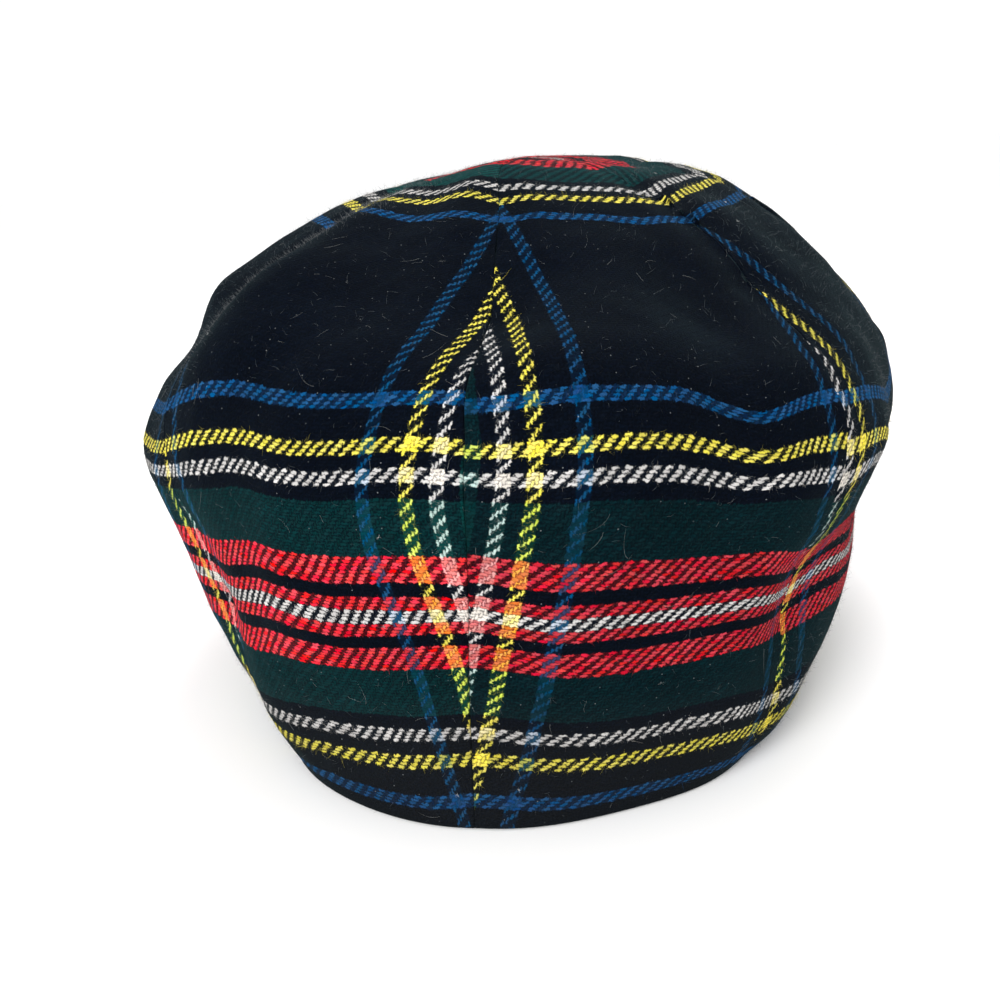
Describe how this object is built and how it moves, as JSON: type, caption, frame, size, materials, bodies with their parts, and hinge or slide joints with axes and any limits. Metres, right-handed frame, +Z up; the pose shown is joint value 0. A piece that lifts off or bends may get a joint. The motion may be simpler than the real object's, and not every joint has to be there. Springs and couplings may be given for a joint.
{
  "type": "cabbie cap",
  "caption": "Full, soft wool cap sewn from tartan gores that run in one piece from the rim to the top, with a short stiff peak at the front.",
  "frame": {"origin": "on the surface under the middle of the cap's box", "axes": "+Z up, the peak points to +Y, the wearer's right is +X and the back is -Y"},
  "size_m": [0.2424, 0.282, 0.1551],
  "materials": {
    "tartan_wool": "matte, fuzzy milled wool twill in a tartan",
    "peak_wool": "matte, fuzzy milled wool twill in a tartan over a stiff core"
  },
  "bodies": {
    "root": {"gore_back_right": "tartan_wool", "gore_side_right": "tartan_wool", "gore_fore_right": "tartan_wool", "gore_front_right": "tartan_wool", "gore_front_left": "tartan_wool", "gore_fore_left": "tartan_wool", "gore_side_left": "tartan_wool", "gore_back_left": "tartan_wool", "peak": "peak_wool"}
  },
  "joints": []
}
